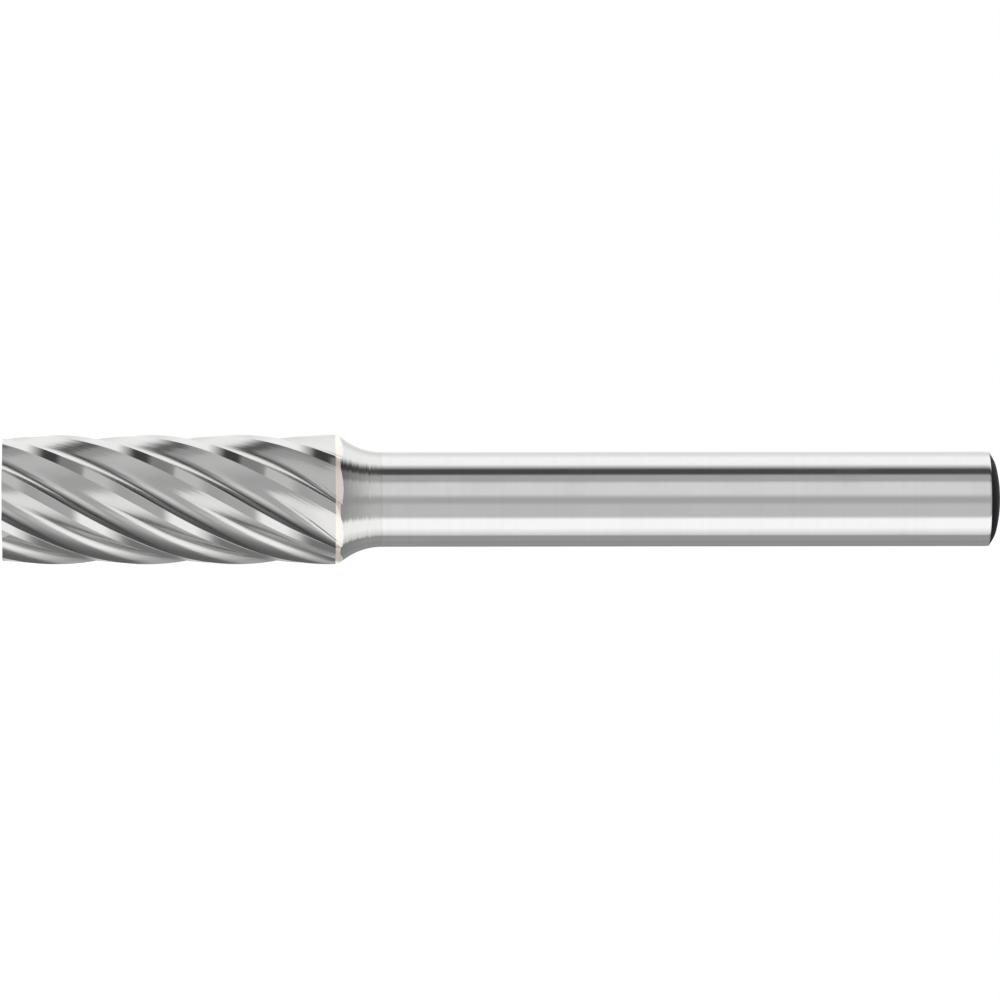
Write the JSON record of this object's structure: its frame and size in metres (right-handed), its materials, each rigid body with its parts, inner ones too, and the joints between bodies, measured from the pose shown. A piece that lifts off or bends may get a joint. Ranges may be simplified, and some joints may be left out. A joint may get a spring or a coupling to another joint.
{
  "type": "carbide burr",
  "caption": "Cylindrical rotary burr: a carbide head with coarse helical teeth and a flat end, brazed to a straight steel shank with a crowned end.",
  "frame": {"origin": "centre of the head's flat end face, which the tool stands on", "axes": "+Z along the tool's axis, from the head towards the end of the shank"},
  "size_m": [0.0082, 0.0082, 0.0631],
  "materials": {
    "carbide": "satin",
    "filler": "satin",
    "steel": "satin"
  },
  "bodies": {
    "root": {"cutting_head": "carbide", "braze_seam": "filler", "shank": "steel"}
  },
  "joints": []
}
